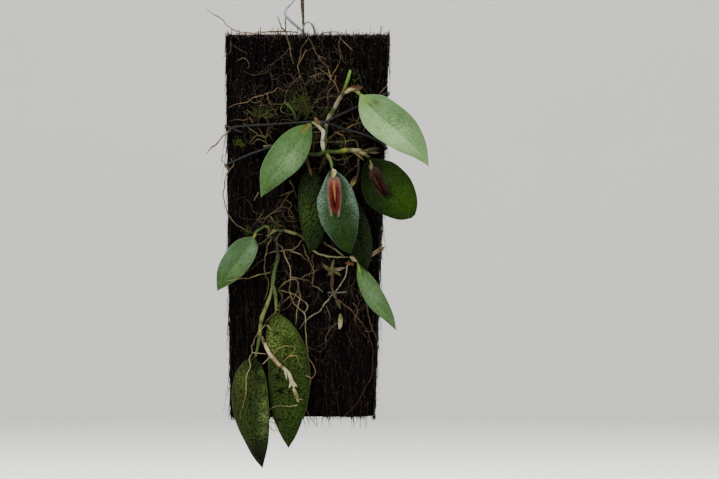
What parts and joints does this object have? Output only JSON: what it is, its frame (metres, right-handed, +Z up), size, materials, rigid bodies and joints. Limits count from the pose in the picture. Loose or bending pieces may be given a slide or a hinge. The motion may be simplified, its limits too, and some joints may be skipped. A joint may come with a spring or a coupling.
{
  "type": "orchid on hanging tree-fern slab",
  "caption": "Small creeping orchid with thick leaves and two flowers, wired to a dark tree-fern fibre slab that hangs from a wire hook.",
  "frame": {"origin": "inside the top of the wire hook, where the slab hangs", "axes": "+Z up along the slab, +Y out of the slab's flat back, +X to the right when its planted face is seen"},
  "size_m": [0.1392, 0.0662, 0.3417],
  "materials": {
    "fern_fibre": "rough, wiry, near black",
    "galvanised_wire": "dull zinc",
    "tie_wire": "dull dark green coat",
    "staple_wire": "dull zinc",
    "leaf_pale": "thick pale green, waxy",
    "leaf_green": "thick mid green, waxy",
    "leaf_dark": "thick dark green, waxy",
    "shoot": "fresh yellow green",
    "stem": "green stem with papery sheaths",
    "sheath": "dry papery cream",
    "dry_stem": "dead brown stem",
    "root": "dry tan root skin",
    "root_red": "red brown root skin",
    "sepals": "crimson, hairy",
    "lip": "orange cream, smooth"
  },
  "bodies": {
    "root": {"dead_stump": "dry_stem", "dry_blade": "dry_stem", "dry_strand": "dry_stem", "fern_slab": "fern_fibre", "flower_1_lip": "lip", "flower_1_sepals": "sepals", "flower_1_stalk": "sheath", "flower_2_lip": "lip", "flower_2_sepals": "sepals", "flower_2_stalk": "sheath", "leaf_1": "leaf_pale", "leaf_10": "leaf_dark", "leaf_2": "leaf_pale", "leaf_3": "leaf_green", "leaf_4": "leaf_dark", "leaf_5": "leaf_dark", "leaf_6": "leaf_green", "leaf_7": "leaf_pale", "leaf_8": "leaf_pale", "leaf_9": "leaf_green", "left_shoot": "shoot", "low_bud": "sheath", "new_shoot": "shoot", "old_stem": "sheath", "old_stem_bud": "sheath", "plantlet": "sheath", "rhizome_lower": "stem", "rhizome_upper": "stem", "root_bud": "root", "root_left_straight": "root", "root_low_cross": "root", "root_over_leaf_10": "root", "root_over_leaf_7": "root", "root_red": "root_red", "root_right_thin": "root", "roots_crown": "root", "roots_left_edge": "root", "roots_lower": "root", "roots_middle": "root", "roots_on_leaf_9": "root", "roots_top": "root", "roots_upper": "root", "stem_1": "stem", "stem_2": "stem", "stem_3": "stem", "stem_4": "stem", "stem_5": "stem", "stem_6": "stem", "stem_7": "stem", "stem_9_and_10": "stem", "stolon": "shoot", "tie_wire": "tie_wire", "wire_hanger": "galvanised_wire", "wire_staple": "staple_wire"}
  },
  "joints": []
}
